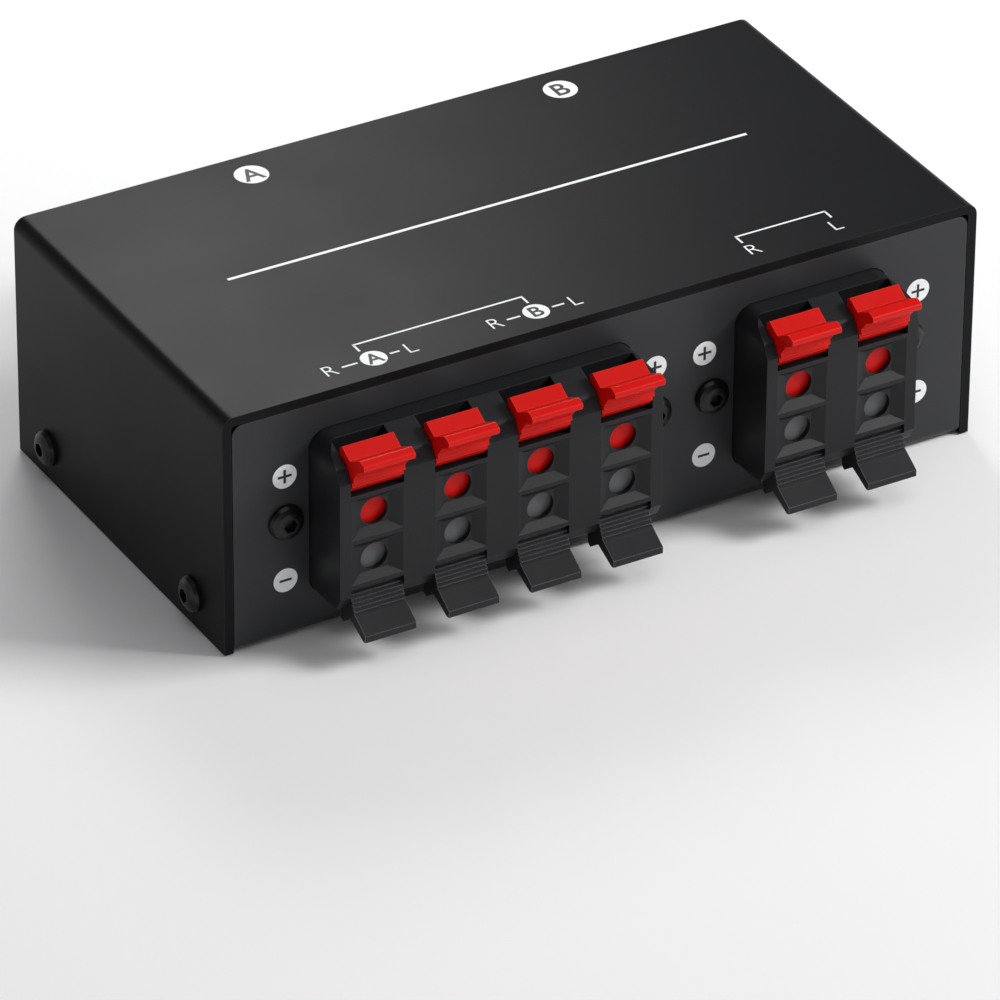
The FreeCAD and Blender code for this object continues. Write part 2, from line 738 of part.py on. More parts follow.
def make_board(name, mid, count):
    """Phenolic board that closes the back of a housing."""
    piece = body(name)
    half = "((terminal_pitch * %d + housing_margin) / 2 - board_inset)" % (count - 1)
    plate = [rectangle("-" + half, "board_inset - housing_foot", half, "housing_top - board_inset")]
    spot = "0 - (%s)" % beyond("0 - housing_back")
    pad(piece, outline(piece, "XZ_Plane", plate, spot), "board_thick")
    round_edges(piece, "housing_corner - board_inset", lambda e: along(e, "y"))
    holes = []
    for number in range(count - 1):
        across = "terminal_pitch * (%d - %d / 2)" % (number, count - 2)
        for sign in ("", "-"):
            holes.append((across, sign + "stake_up", "stake / 2 + stake_gap"))
    for number in range(count):
        across = "terminal_pitch * (%d - %d / 2)" % (number, count - 1)
        half_tag = "(tag_width / 2 + board_slot_gap)"
        for sign in ("", "-"):
            low = "%s(tag_up - strip - board_slot_gap)" % sign
            high = "%s(tag_up + board_slot_gap)" % sign
            left = "%s - %s" % (across, half_tag)
            right = "%s + %s" % (across, half_tag)
            holes.append(rectangle(left, low, right, high))
    pocket(piece, outline(piece, "XZ_Plane", holes, spot), "board_thick * 3", "Symmetric")
    moved(piece, mid, "0", "terminal_mid_z")
    keep(piece)


def make_contact(name):
    """One folded contact spring with its solder tag, for an upper cavity."""
    piece = body(name)
    foot = "cavity_floor + strip_rise"
    back = "strip_wall_gap - housing_back"
    tip_low = "cavity_end - tongue_gap - tongue_thick - strip_gap"
    tip_high = "head_back - strip_gap"
    section = [
        (beyond(tip_low), foot), (beyond(tip_low), foot + " + strip"),
        (beyond(back + " + strip"), foot + " + strip"), (beyond(back + " + strip"), "strip_top - strip"),
        (beyond(tip_high), "strip_top - strip"), (beyond(tip_high), "strip_top"),
        (beyond(back), "strip_top"), (beyond(back), foot)]
    pad(piece, outline(piece, "YZ_Plane", [section]), "strip_width", "Symmetric")
    inner = value("strip") * 0.9

    def bend(edge):
        spot = edge.CenterOfMass
        outside = near(spot.y, beyond(back))
        return along(edge, "x") and outside and edge.Length > inner

    round_edges(piece, "strip * 0.9", bend)
    end = "0 - housing_back - board_thick - tag_long"
    tag = [rectangle(beyond(end), "tag_up - strip", beyond(back + " + strip / 2"), "tag_up")]
    pad(piece, outline(piece, "YZ_Plane", tag), "tag_width", "Symmetric")
    return piece


def make_contacts():
    """Every column has one spring above and one below."""
    spring = make_contact("contact")
    over = FreeCAD.Rotation(Y, 180)
    for name, mid, count in (("contact_springs_4way", "four_mid_x", 4), ("contact_springs_2way", "two_mid_x", 2)):
        row = []
        for number in range(count):
            across = "%s + terminal_pitch * (%d - %d / 2)" % (mid, number, count - 1)
            row.append(copy_at(spring, across, "0", "terminal_mid_z"))
            row.append(copy_at(spring, across, "0", "terminal_mid_z", over))
        keep(together(name, row))


def out(text):
    """An outward place measured from the lever pivot."""
    return "(%s) - pivot_out" % text


def up(text):
    """An upward place measured from the lever pivot."""
    return "(%s) - pivot_up" % text


def make_lever(name, across, upper):
    """Bell crank lever: head, tongue over the wire hole, two cheeks and pivot stubs."""
    piece = body(name)
    tongue_front = "cavity_end - tongue_gap"
    tongue_back = tongue_front + " - tongue_thick"
    foot = "cavity_floor + tongue_gap"
    points = [(tongue_back, foot), (tongue_front, foot), (tongue_front, "stem_up - 0.45")]
    points.append(("stem_out", "stem_up"))
    if upper:
        points += [
            ("stem_out + 0.95", "stem_up + 1.15"), ("stem_out + 0.95 - rib_step / 2", "stem_up + 1.75"),
            ("stem_out + 1.45", "stem_up + 2.0"), ("stem_out + 1.45 - rib_step / 2", "stem_up + 2.75"),
            ("lip_out - 2.0", "lip_up - 1.9"), ("lip_out - 0.2", "lip_up - 0.9"), ("lip_out", "lip_up"),
            ("lip_out - 1.45", "lip_up + 0.5"), ("stem_out + 0.1", "lip_up - 1.2")]
    else:
        for rib in range(6):
            along_out = "stem_out + %.2f" % (0.28 * rib)
            points.append((along_out + " - rib_step / 2", "stem_up + %.2f" % (0.6 * rib + 0.2)))
            points.append((along_out + " + rib_step", "stem_up + %.2f" % (0.6 * rib + 0.5)))
        points += [
            ("lip_out - 2.7", "lip_up - 2.8"), ("lip_out + 0.1", "lip_up - 1.1"),
            ("lip_out + 0.1", "lip_up"), ("lip_out - 0.6", "lip_up + 0.1"),
            ("stem_out + 0.1", "lip_up - 1.6")]
    points += [
        ("head_back + 1.0", "head_up"), ("head_back + 0.3", "head_up - 0.5"),
        ("head_back", "strip_top"), (tongue_back, "slot_front")]
    profile = [(out(a), up(b)) for a, b in points]
    pad(piece, outline(piece, "YZ_Plane", [profile]), "lever_width", "Symmetric")
    cheeks = [
        ("0 - trunnion * 0.3", up("cavity_floor + tongue_gap + 0.05")),
        (out(tongue_front + " - 0.1"), up("cavity_floor + tongue_gap + 0.05")),
        (out(tongue_front + " - 0.1"), up("strip_top - 1.0")), (out("head_back + 0.3"), up("strip_top")),
        (out("head_back - 0.1"), up("strip_top")), ("0 - trunnion * 0.3", "trunnion * 0.45"),
        ("0 - trunnion * 0.48", "trunnion * 0.25"), ("0 - trunnion * 0.48", "0 - trunnion * 0.25")]
    for sign in ("", "-"):
        lift = "%s(lever_width / 2 - cheek / 2)" % sign
        pad(piece, outline(piece, "YZ_Plane", [cheeks], lift), "cheek", "Symmetric")
        lift = "%s(lever_width / 2 - cheek / 2 + trunnion_long / 2)" % sign
        stub = outline(piece, "YZ_Plane", [("0", "0", "trunnion / 2")], lift)
        pad(piece, stub, "cheek + trunnion_long", "Symmetric")
    # the notch lets the bared wire end in while the lever is pressed
    notch = [("0", up("cavity_floor + tongue_gap - 0.3"), "notch")]
    flat = outline(piece, "XZ_Plane", notch, "0 - (%s)" % out(tongue_front + " + 0.5"))
    pocket(piece, flat, "tongue_thick + 1.0", backward=True)

    def lip_edge(edge):
        spot = edge.CenterOfMass
        if not along(edge, "x") or spot.y < value(out("lip_out - 1.6")):
            return False
        return upper and spot.z > value(up("lip_up - 1.0"))

    if upper:
        round_edges(piece, "lip_round", lip_edge)
    if not upper:
        piece.Placement = FreeCAD.Placement(FreeCAD.Vector(), FreeCAD.Rotation(Y, 180))
    sign = "+" if upper else "-"
    moved(piece, across, beyond("pivot_out"), "terminal_mid_z %s pivot_up" % sign)
    keep(piece)


def make_levers():
    """Red levers above, black below, named by channel and side."""
    columns = (
        ("four_mid_x", 4, 3, "a_right"), ("four_mid_x", 4, 2, "a_left"),
        ("four_mid_x", 4, 1, "b_right"), ("four_mid_x", 4, 0, "b_left"),
        ("two_mid_x", 2, 1, "input_right"), ("two_mid_x", 2, 0, "input_left"))
    for mid, count, number, tail in columns:
        across = "%s + terminal_pitch * (%d - %d / 2)" % (mid, number, count - 1)
        make_lever("red_lever_" + tail, across, True)
        make_lever("black_lever_" + tail, across, False)


def seated(thing, across, turn=None, lift="0"):
    """Put a switch piece, built with Z outward, on the front panel."""
    facing = FRONT if turn is None else FRONT.multiply(turn)
    thing.Placement = FreeCAD.Placement(FreeCAD.Vector(), facing)
    return moved(thing, across, "0 - box_depth / 2 - (%s)" % lift, "toggle_z")


CASE_TOP = "(0 - frame_back - frame_thick)"
BASE_TOP = "(0 - frame_back - frame_thick - case_deep)"
ROCKER = "(pivot_height - rocker_far)"


def make_bushing(name, across):
    """Chromed threaded bushing, staked to the frame, with a dished front."""
    points = [("flare_wide / 2", CASE_TOP), ("neck_wide / 2", CASE_TOP), ("neck_wide / 2", "0 - frame_back")]
    points.append(("bush_wide / 2", "0 - frame_back"))
    points.append(("bush_wide / 2", "panel_nut_tall + thread_pitch / 2"))
    turns = int(value("(thread_end - panel_nut_tall - thread_pitch / 2) / thread_pitch"))
    for turn in range(turns):
        low = "panel_nut_tall + thread_pitch * (%d + 0.5)" % turn
        points.append(("bush_wide / 2 - thread_deep", low + " + thread_pitch / 2"))
        points.append(("bush_wide / 2", low + " + thread_pitch"))
    points += [
        ("bush_wide / 2", "collar_end"), ("bush_wide / 2 - bush_bevel", "bush_front"),
        ("dish_wide / 2", "bush_front"), ("mouth_wide / 2", "mouth_out"),
        ("mouth_wide / 2", "pivot_height - pin_radius * 1.5")]
    piece = spun(name + "_turned", points)
    hole = rod(name + "_pin_hole", "pin_radius + pin_press", "0", "pin_long + 0.1")
    hole.Placement = FreeCAD.Placement(FreeCAD.Vector(), FreeCAD.Rotation(X, 90))
    moved(hole, "0", "(pin_long + 0.1) / 2", "pivot_height")
    made = less(name, piece, [hole])
    made.Label = name
    keep(seated(made, across))


def make_toggle_lever(name, across, tilt):
    """Bat lever: ball tip, tapered shaft, pivot knuckle and hollow lower arm."""
    shaft = spun(name + "_shaft", [
        ("0", "0"), ("bat_root", "0"), ("bat_root", "knuckle"), ("bat_middle", "ball_far * 0.55"),
        ("bat_end", "ball_far - ball_wide / 2 - 0.3"), ("bat_end * 0.86", "ball_far - ball_wide / 2"),
        ("bat_end * 0.86", "ball_far - ball_wide / 2 + 0.35"), ("bat_end * 0.86", "ball_far"), ("0", "ball_far")])
    arm = rod(name + "_arm", "arm_radius", "0 - arm_long", "arm_long")
    solid = joined(name + "_solid", [
        shaft, arm, ball(name + "_knuckle", "knuckle"), ball(name + "_tip", "ball_wide / 2", "ball_far")])
    bore = rod(name + "_bore", "plunger_radius + plunger_run", "0 - arm_long - 1", "arm_long * 0.6 + 1")
    cross = rod(name + "_cross", "pin_radius + pin_run", "0", "knuckle * 4")
    cross.Placement = FreeCAD.Placement(FreeCAD.Vector(), FreeCAD.Rotation(X, 90))
    moved(cross, "0", "knuckle * 2", "0")
    made = less(name, solid, [bore, cross])
    made.Label = name
    keep(seated(made, across, tilt, "pivot_height"))


def make_plunger(name, across, tilt):
    """Plunger in the lower arm, with a round nose and a collar for its spring."""
    stem = rod(name + "_stem", "plunger_radius", "0 - plunger_reach", "plunger_reach - arm_long * 0.62")
    nose = ball(name + "_nose", "nose_radius", "0 - plunger_reach")
    collar = rod(name + "_collar", "arm_radius + 0.2", "0 - plunger_reach + nose_radius * 0.6", "0.6")
    made = joined(name, [stem, nose, collar])
    made.Label = name
    keep(seated(made, across, tilt, "pivot_height"))


def make_plunger_spring(name, across, tilt):
    """Wound spring between the arm and the plunger's collar."""
    low = value("0 - plunger_reach + nose_radius * 0.6 + 0.6 + spring_wire")
    high = value("0 - arm_long - spring_wire")
    middle = value("plunger_radius + spring_wire + 0.1")
    steps = 24
    spots = []
    for step in range(steps + 1):
        turned = step * math.pi / 4
        rise = low + (high - low) * step / steps
        spots.append(FreeCAD.Vector(middle * math.cos(turned), middle * math.sin(turned), rise))
    arcs = [Part.Arc(*spots[i:i + 3]).toShape() for i in range(0, steps, 2)]
    ahead = arcs[0].tangentAt(arcs[0].FirstParameter)
    ring = Part.Wire(Part.makeCircle(value("spring_wire / 2"), spots[0], ahead))
    coil = Part.Wire(arcs).makePipeShell([ring], True, False)
    made = doc.addObject("Part::Feature", name)
    made.Shape = coil
    made.Label = name
    keep(seated(made, across, tilt, "pivot_height"))


def make_rocker(name, across, turn):
    """Insulating cradle that the plunger tips; its saddle clears the nose all the way."""
    far = "(rocker_far - plunger_reach * cos(toggle_tilt))"
    side = "(plunger_reach * sin(toggle_tilt))"
    nose_x = "(%s * cos(rocker_tilt) - %s * sin(rocker_tilt))" % (side, far)
    nose_z = "(%s * sin(rocker_tilt) + %s * cos(rocker_tilt))" % (side, far)
    lowest = "(rocker_far - plunger_reach)"
    centre = "((%s ^ 2 + %s ^ 2 - %s ^ 2) / (2 * (%s - %s)))" % (nose_x, nose_z, lowest, nose_z, lowest)
    radius = "(%s - %s + nose_radius + nose_gap)" % (centre, lowest)
    solid = block(name + "_block", "0", "0", "blade_thick", "cradle_half * 2", "cradle_width", "rocker_far - plunger_reach")
    saddle = rod(name + "_saddle", radius, "0", "cradle_width * 2")
    saddle.Placement = FreeCAD.Placement(FreeCAD.Vector(), FreeCAD.Rotation(X, 90))
    moved(saddle, "0", "cradle_width", centre)
    made = less(name, solid, [saddle])
    made.Label = name
    keep(seated(made, across, turn, ROCKER))


def make_blades(name, across, turn):
    """Two contact blades under the rocker cradle."""
    blades = []
    for sign in ("", "-"):
        blades.append(block(name + "_blade", "0", sign + "pole_half", "0", "blade_half * 2", "blade_width", "blade_thick"))
    made = together(name, blades)
    keep(seated(made, across, turn, ROCKER))


def make_case(name, across):
    """Moulded case, open toward the base."""
    outer = block(name + "_outer", "0", "0", BASE_TOP + " - base_thick", "case_length", "case_width", "case_deep + base_thick")
    inner = block(
        name + "_inner", "0", "0", BASE_TOP + " - base_thick - 1", "case_length - case_wall * 2",
        "case_width - case_wall * 2", "case_deep + base_thick + 1 - case_wall")
    throat = rod(name + "_throat", "flare_wide / 2", BASE_TOP, "case_deep + 1")
    made = less(name, outer, [inner, throat])
    made.Label = name
    keep(seated(made, across))


def make_frame(name, across):
    """Steel frame: plate under the bushing and two legs bent under the base."""
    plate = block(name + "_plate", "0", "0", CASE_TOP, "case_length + base_gap * 2 + leg_thick * 2", "case_width", "frame_thick")
    parts = [plate]
    tall = "case_deep + base_thick + base_gap + leg_thick"
    low = CASE_TOP + " - (%s)" % tall
    for sign in ("", "-"):
        mid = "%s(case_length / 2 + base_gap + leg_thick / 2)" % sign
        parts.append(block(name + "_leg", mid, "0", low, "leg_thick", "leg_width", tall))
        mid = "%s(case_length / 2 + base_gap - case_wall)" % sign
        parts.append(block(name + "_tab", mid, "0", low, "case_wall * 2 + 0.2", "leg_width", "leg_thick"))
    hole = rod(name + "_hole", "neck_wide / 2", "0 - frame_back - frame_thick - 1", "frame_thick + 2")
    made = less(name, joined(name + "_solid", parts), [hole])
    made.Label = name
    keep(seated(made, across))


def make_base(name, across):
    """Phenolic base that carries the terminals."""
    wide = "case_width - case_wall * 2 - base_gap * 2"
    long = "case_length - case_wall * 2 - base_gap * 2"
    plate = block(name + "_plate", "0", "0", BASE_TOP + " - base_thick", long, wide, "base_thick")
    holes = []
    for sign in ("", "-"):
        for spot in ("0", "contact_half", "-contact_half"):
            hole = block(
                name + "_slot", spot, sign + "pole_half", BASE_TOP + " - base_thick - 1",
                "lug_thick + 0.1", "lug_width + 0.1", "base_thick + 2")
            holes.append(hole)
    made = less(name, plate, holes)
    made.Label = name
    keep(seated(made, across))


def make_terminals(name, across):
    """Six lugs: a knife in the middle and a domed contact each side, for two poles."""
    lugs = []
    low = BASE_TOP + " - base_thick - lug_long"
    for sign in ("", "-"):
        pole = sign + "pole_half"
        top = "%s - knife_gap" % ROCKER
        stem = block(name + "_knife", "0", pole, "%s - 1.5" % ROCKER, "knife_half * 2", "lug_width", "1.5 - knife_gap")
        lug = block(name + "_lug", "0", pole, low, "lug_thick", "lug_width", "%s - 1.4 - (%s)" % (ROCKER, low))
        lugs.append(joined(name + "_common", [stem, lug]))
        for spot in ("contact_half", "-contact_half"):
            top = "(%s - contact_low)" % ROCKER
            head = rod(name + "_dome", "contact_radius", "%s - 0.8" % top, "0.8", spot, pole)
            lug = block(name + "_lug", spot, pole, low, "lug_thick", "lug_width", "%s - 0.4 - (%s)" % (top, low))
            lugs.append(joined(name + "_outer", [head, lug]))
    made = together(name, lugs)
    keep(seated(made, across))


def make_toggle(tail, across):
    """One complete switch."""
    tilt = FreeCAD.Rotation(Y, -value("toggle_tilt"))
    turn = FreeCAD.Rotation(Y, value("rocker_tilt"))
    make_bushing("switch_bushing_" + tail, across)
    make_frame("switch_frame_" + tail, across)
    make_case("switch_case_" + tail, across)
    make_base("switch_base_" + tail, across)
    make_terminals("switch_terminals_" + tail, across)
    make_toggle_lever("toggle_lever_" + tail, across, tilt)
    make_plunger("plunger_" + tail, across, tilt)
    make_plunger_spring("plunger_spring_" + tail, across, tilt)
    make_rocker("rocker_" + tail, across, turn)
    make_blades("contact_blades_" + tail, across, turn)
    pin = rod("pivot_pin_" + tail, "pin_radius", "0", "pin_long")
    pin.Label = "pivot_pin_" + tail
    moved(pin, across, "0 - box_depth / 2 - pivot_height", "toggle_z - pin_long / 2")
    keep(pin)
    nut = hex_nut("panel_nut_" + tail, "nut_across", "bush_wide / 2 + thread_gap", "panel_nut_tall")
    keep(seated(nut, across)).Label = "panel_nut_" + tail
    ring = rod("washer_ring_" + tail, "washer_wide / 2", "0", "washer_thick")
    bore = rod("washer_bore_" + tail, "bush_wide / 2 + bush_hole_gap", "-1", "washer_thick + 2")
    washer = less("lock_washer_" + tail, ring, [bore])
    keep(seated(washer, across, lift="0 - chassis_sheet - washer_thick")).Label = "lock_washer_" + tail
    nut = hex_nut("back_nut_" + tail, "nut_across", "bush_wide / 2 + thread_gap", "panel_nut_tall")
    behind = "0 - chassis_sheet - washer_thick - panel_nut_tall"
    keep(seated(nut, across, lift=behind)).Label = "back_nut_" + tail


LUG_END = "0 - box_depth / 2 + frame_back + frame_thick + case_deep + base_thick + lug_long + solder_gap + lead / 2"
TAG_END = "box_depth / 2 - housing_back - board_thick - tag_long - solder_gap - lead / 2"


def lug(tail, spot, pole):
    """The end of a switch lug: switch a or b, -1, 0 or 1 across, pole 1 above or -1 below."""
    across = value("toggle_x") * (1 if tail == "a" else -1) + spot * value("contact_half")
    return FreeCAD.Vector(across, value(LUG_END), value("toggle_z") + pole * value("pole_half"))


def tag(mid, count, number, row):
    """The end of a terminal's solder tag, row 1 above or -1 below."""
    across = value("%s + terminal_pitch * (%d - %d / 2)" % (mid, number, count - 1))
    return FreeCAD.Vector(across, value(TAG_END), value("terminal_mid_z") + row * value("tag_up - strip / 2"))


def lead_through(points):
    """A round wire through points, with a tangent arc at each bend."""
    runs = [(b - a).Length for a, b in zip(points, points[1:])]
    edges = []
    last = points[0]
    for i in range(1, len(points) - 1):
        back = (points[i - 1] - points[i]).normalize()
        ahead = (points[i + 1] - points[i]).normalize()
        reach = 0.45 * min(runs[i - 1], runs[i])
        start = points[i] + back * reach
        end = points[i] + ahead * reach
        half = (math.pi - back.getAngle(ahead)) / 2
        radius = reach / math.tan(half)
        middle = points[i] + (back + ahead).normalize() * (radius / math.cos(half) - radius)
        edges.append(Part.makeLine(last, start))
        edges.append(Part.Arc(start, middle, end).toShape())
        last = end
    edges.append(Part.makeLine(last, points[-1]))
    path = Part.Wire(edges)
    thick = value("lead / 2")
    ring = Part.Wire(Part.makeCircle(thick, points[0], points[1] - points[0]))
    made = path.makePipeShell([ring], True, False)
    expected = path.Length * math.pi * thick ** 2
    if abs(made.Volume / expected - 1) > 0.02:
        raise RuntimeError("a wire was not swept whole")
    return made


def bent(start, *rest):
    """Points from a start by named stops: each stop is (x, y, z) with None for the same."""
    points = [start]
    for stop in rest:
        old = points[-1]
        fresh = [new if new is not None else kept_value for new, kept_value in zip(stop, old)]
        points.append(FreeCAD.Vector(*fresh))
    return points


def make_wiring():
    """Input red wires feed both switches; each switch feeds its outputs; blacks are joined."""
    in_r = tag("two_mid_x", 2, 1, 1)
    in_l = tag("two_mid_x", 2, 0, 1)
    reds = []
    first = lug("a", 1, 1)
    goal = tag("four_mid_x", 4, 3, 1)
    reds.append(bent(first, (None, first.y + 6, None), (goal.x, goal.y - 5, goal.z), tuple(goal)))
    first = lug("a", 1, -1)
    goal = tag("four_mid_x", 4, 2, 1)
    reds.append(bent(first, (None, first.y + 4, None), (goal.x, goal.y - 4, goal.z), tuple(goal)))
    first = lug("b", 1, 1)
    goal = tag("four_mid_x", 4, 1, 1)
    reds.append(bent(first, (None, first.y + 5, None), (first.x + 6, first.y + 9, 30), (
        goal.x - 6, goal.y - 9, 30), (goal.x, goal.y - 5, goal.z), tuple(goal)))
    first = lug("b", 1, -1)
    goal = tag("four_mid_x", 4, 0, 1)
    reds.append(bent(first, (None, first.y + 4, None), (goal.x, goal.y - 5, goal.z), tuple(goal)))
    first = lug("b", 0, 1)
    reds.append(bent(first, (None, first.y + 6, None), (in_r.x, in_r.y - 5, in_r.z), tuple(in_r)))
    first = lug("b", 0, -1)
    reds.append(bent(first, (None, first.y + 4, None), (in_l.x, in_l.y - 4, in_l.z), tuple(in_l)))
    side = value("lug_thick / 2 + lead / 2 + solder_gap")
    for pole, level in ((1, 33.5), (-1, 7.5)):
        first = lug("b", 0, pole) + FreeCAD.Vector(side, -2.4, 0)
        goal = lug("a", 0, pole) + FreeCAD.Vector(-side, -2.4, 0)
        rise = 1 if pole > 0 else -1
        reds.append(bent(
            first, (None, None, first.z + 5 * rise), (first.x + 5, None, level),
            (goal.x - 5, None, level), (goal.x, None, goal.z + 5 * rise), tuple(goal)))
    blacks = []
    for numbers, level, hang in (((3, 1), 6.4, 3.0), ((2, 0), 9.6, 5.4)):
        spots = [tag("four_mid_x", 4, number, -1) for number in numbers]
        spots.append(tag("two_mid_x", 2, 1 if numbers[0] == 3 else 0, -1))
        beside = value("tag_width / 2 + lead / 2 + solder_gap")
        for a, b in zip(spots, spots[1:]):
            start = a + FreeCAD.Vector(-beside, 2.4, 0)
            goal = b + FreeCAD.Vector(beside, 2.4, 0)
            blacks.append(bent(
                start, (None, start.y - hang, None), (start.x - 3, None, level),
                (goal.x + 3, None, level), (goal.x, None, goal.z), tuple(goal)))
    for name, routes in (("red_wires", reds), ("black_wires", blacks)):
        made = doc.addObject("Part::Feature", name)
        made.Shape = Part.makeCompound([lead_through(route) for route in routes])
        made.Label = name
        keep(made)


make_chassis()
make_cover()
make_side_screws()
make_terminal_fasteners()
make_housing("terminal_housing_4way", "four_mid_x", 4)
make_housing("terminal_housing_2way", "two_mid_x", 2)
make_board("back_board_4way", "four_mid_x", 4)
make_board("back_board_2way", "two_mid_x", 2)
make_contacts()
make_levers()
make_toggle("a", "toggle_x")
make_toggle("b", "0 - toggle_x")
make_wiring()
settle()

for thing in doc.Objects:
    if "Invalid" in thing.State or "Error" in thing.State:
        raise RuntimeError("object failed: " + thing.Name)
for piece in kept:
    shape = piece.Shape
    if shape.isNull() or not shape.isValid() or not shape.Solids:
        raise RuntimeError("bad shape: " + piece.Label)
    shape.exportStep("parts/%s.step" % piece.Label)
    box = shape.BoundBox
    print("%-26s %2d %9.1f  x %7.2f %7.2f  y %7.2f %7.2f  z %6.2f %6.2f" % (
        piece.Label, len(shape.Solids), shape.Volume,
        box.XMin, box.XMax, box.YMin, box.YMax, box.ZMin, box.ZMax))
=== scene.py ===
import json
import math

import bmesh
import bpy
from mathutils import Matrix, Vector


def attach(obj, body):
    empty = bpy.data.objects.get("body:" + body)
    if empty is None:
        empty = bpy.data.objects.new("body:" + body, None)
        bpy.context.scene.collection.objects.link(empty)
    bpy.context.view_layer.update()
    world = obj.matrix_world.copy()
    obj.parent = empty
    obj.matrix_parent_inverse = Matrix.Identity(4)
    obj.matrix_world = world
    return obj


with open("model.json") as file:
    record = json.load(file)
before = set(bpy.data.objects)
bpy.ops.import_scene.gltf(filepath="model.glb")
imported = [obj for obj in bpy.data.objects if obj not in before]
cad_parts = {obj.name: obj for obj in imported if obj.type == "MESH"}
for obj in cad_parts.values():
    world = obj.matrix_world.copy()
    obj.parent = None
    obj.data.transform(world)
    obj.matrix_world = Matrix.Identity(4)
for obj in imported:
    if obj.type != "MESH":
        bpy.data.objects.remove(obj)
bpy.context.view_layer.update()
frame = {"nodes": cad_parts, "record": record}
MM = 0.001

# Sizes shared with the CAD model, in millimetres
DEPTH = 66.2
TOP = 40.5
REAR = DEPTH / 2
FRONT = -DEPTH / 2
TONGUE_FRONT = 40.6  # the tongues' lighter colour, a painted highlight, lies behind this Y
TONGUE_LOW = 11.5  # and above this Z

# Print, in millimetres
INK_LIFT = 0.005  # ink above the paint
INK_THICK = 0.02
SIGN_LIFT = 0.026  # a sign lies on its disc
SIGN_THICK = 0.012
SIGN_STEP = 0.006  # the second stroke of a plus lies above the first
LETTER_LIFT = 0.02
LETTER_THICK = 0.01
BADGE_LETTER_LIFT = 0.015  # a badge's letter clears its disc
STROKE = 0.35
SIGN_STROKE = 0.42
DASH_STROKE = 0.5
RULE_STROKE = 0.6
CAPITAL_SHARE = 0.73  # capital height as a share of the font size
LETTER_ROW = 28.5  # the row of channel letters on the top, Y


def linear(text):
    """An sRGB hex colour as linear values."""
    parts = [int(text[i:i + 2], 16) / 255 for i in (1, 3, 5)]
    return [c / 12.92 if c <= 0.04045 else ((c + 0.055) / 1.055) ** 2.4 for c in parts] + [1.0]


def material(name, color, rough, metal=0.0, gloss=0.5):
    """A principled material, returned with its node tree and shader."""
    made = bpy.data.materials.new(name)
    made.use_nodes = True
    shader = made.node_tree.nodes["Principled BSDF"]
    shader.inputs["Base Color"].default_value = linear(color)
    shader.inputs["Roughness"].default_value = rough
    shader.inputs["Metallic"].default_value = metal
    shader.inputs["Specular IOR Level"].default_value = gloss
    return made, made.node_tree, shader


def add(tree, kind, settings=(), inputs=(), links=()):
    """One node with its settings, values and links."""
    node = tree.nodes.new(kind)
    for key, value in dict(settings).items():
        setattr(node, key, value)
    for key, value in dict(inputs).items():
        node.inputs[key].default_value = value
    for key, socket in dict(links).items():
        tree.links.new(socket, node.inputs[key])
    return node


def blend(tree, share, first, second):
    """Mix two colours, each a value or a socket, by a share from 0 to 1."""
    node = add(tree, "ShaderNodeMix", settings={"data_type": "RGBA"}, links={0: share})
    for number, color in ((6, first), (7, second)):
        if isinstance(color, bpy.types.NodeSocket):
            tree.links.new(color, node.inputs[number])
        else:
            node.inputs[number].default_value = color
    return node.outputs[2]


def place(tree):
    """Object coordinates in metres."""
    return add(tree, "ShaderNodeTexCoord").outputs["Object"]


def noise(tree, size_mm, detail=2.0, rough=0.5):
    """Noise whose features are about a size in millimetres."""
    return add(tree, "ShaderNodeTexNoise",
               inputs={"Scale": 1000.0 / size_mm, "Detail": detail, "Roughness": rough},
               links={"Vector": place(tree)}).outputs["Fac"]


def vary_rough(tree, shader, socket, low, high):
    """Let the roughness follow a socket from low to high."""
    reach = add(tree, "ShaderNodeMapRange", inputs={"To Min": low, "To Max": high}, links={"Value": socket})
    tree.links.new(reach.outputs["Result"], shader.inputs["Roughness"])


def bumps(tree, shader, layers):
    """Stack bumps: (height socket, depth in millimetres, strength)."""
    last = None
    for height, deep_mm, strength in layers:
        node = add(tree, "ShaderNodeBump", inputs={"Strength": strength, "Distance": deep_mm * MM},
                   links={"Height": height})
        if last:
            tree.links.new(last.outputs["Normal"], node.inputs["Normal"])
        last = node
    tree.links.new(last.outputs["Normal"], shader.inputs["Normal"])


def tint(tree, shader, socket, dark, light):
    """Vary the base colour between two hex colours."""
    ramp = add(tree, "ShaderNodeValToRGB", links={"Fac": socket})
    for stop, color, position in zip(ramp.color_ramp.elements, (dark, light), (0.3, 0.7)):
        stop.color = linear(color)
        stop.position = position
    tree.links.new(ramp.outputs["Color"], shader.inputs["Base Color"])


def painted_edge_highlight(tree, shader, width_mm, dark, light):
    """A lighter colour on edges, a painted highlight, where a rounded normal leaves the plain one."""
    rounded = add(tree, "ShaderNodeBevel", settings={"samples": 4}, inputs={"Radius": width_mm * MM})
    flat = add(tree, "ShaderNodeNewGeometry").outputs["Normal"]
    dot = add(tree, "ShaderNodeVectorMath", settings={"operation": "DOT_PRODUCT"},
              links={0: rounded.outputs["Normal"], 1: flat})
    fall = add(tree, "ShaderNodeMapRange", inputs={"From Min": 0.995, "From Max": 0.85},
               links={"Value": dot.outputs["Value"]})
    color = blend(tree, fall.outputs["Result"], linear(dark), linear(light))
    tree.links.new(color, shader.inputs["Base Color"])


def paint_satin_black(name, color, light, gloss):
    """Fine textured satin powder coat."""
    made, tree, shader = material(name, color, 0.42, gloss=gloss)
    # Edges get a painted highlight.
    painted_edge_highlight(tree, shader, 0.25, color, light)
    vary_rough(tree, shader, noise(tree, 18.0), 0.36, 0.46)
    bumps(tree, shader, [(noise(tree, 0.35, 3.0, 0.6), 0.006, 0.35), (noise(tree, 1.4), 0.008, 0.25)])
    return made


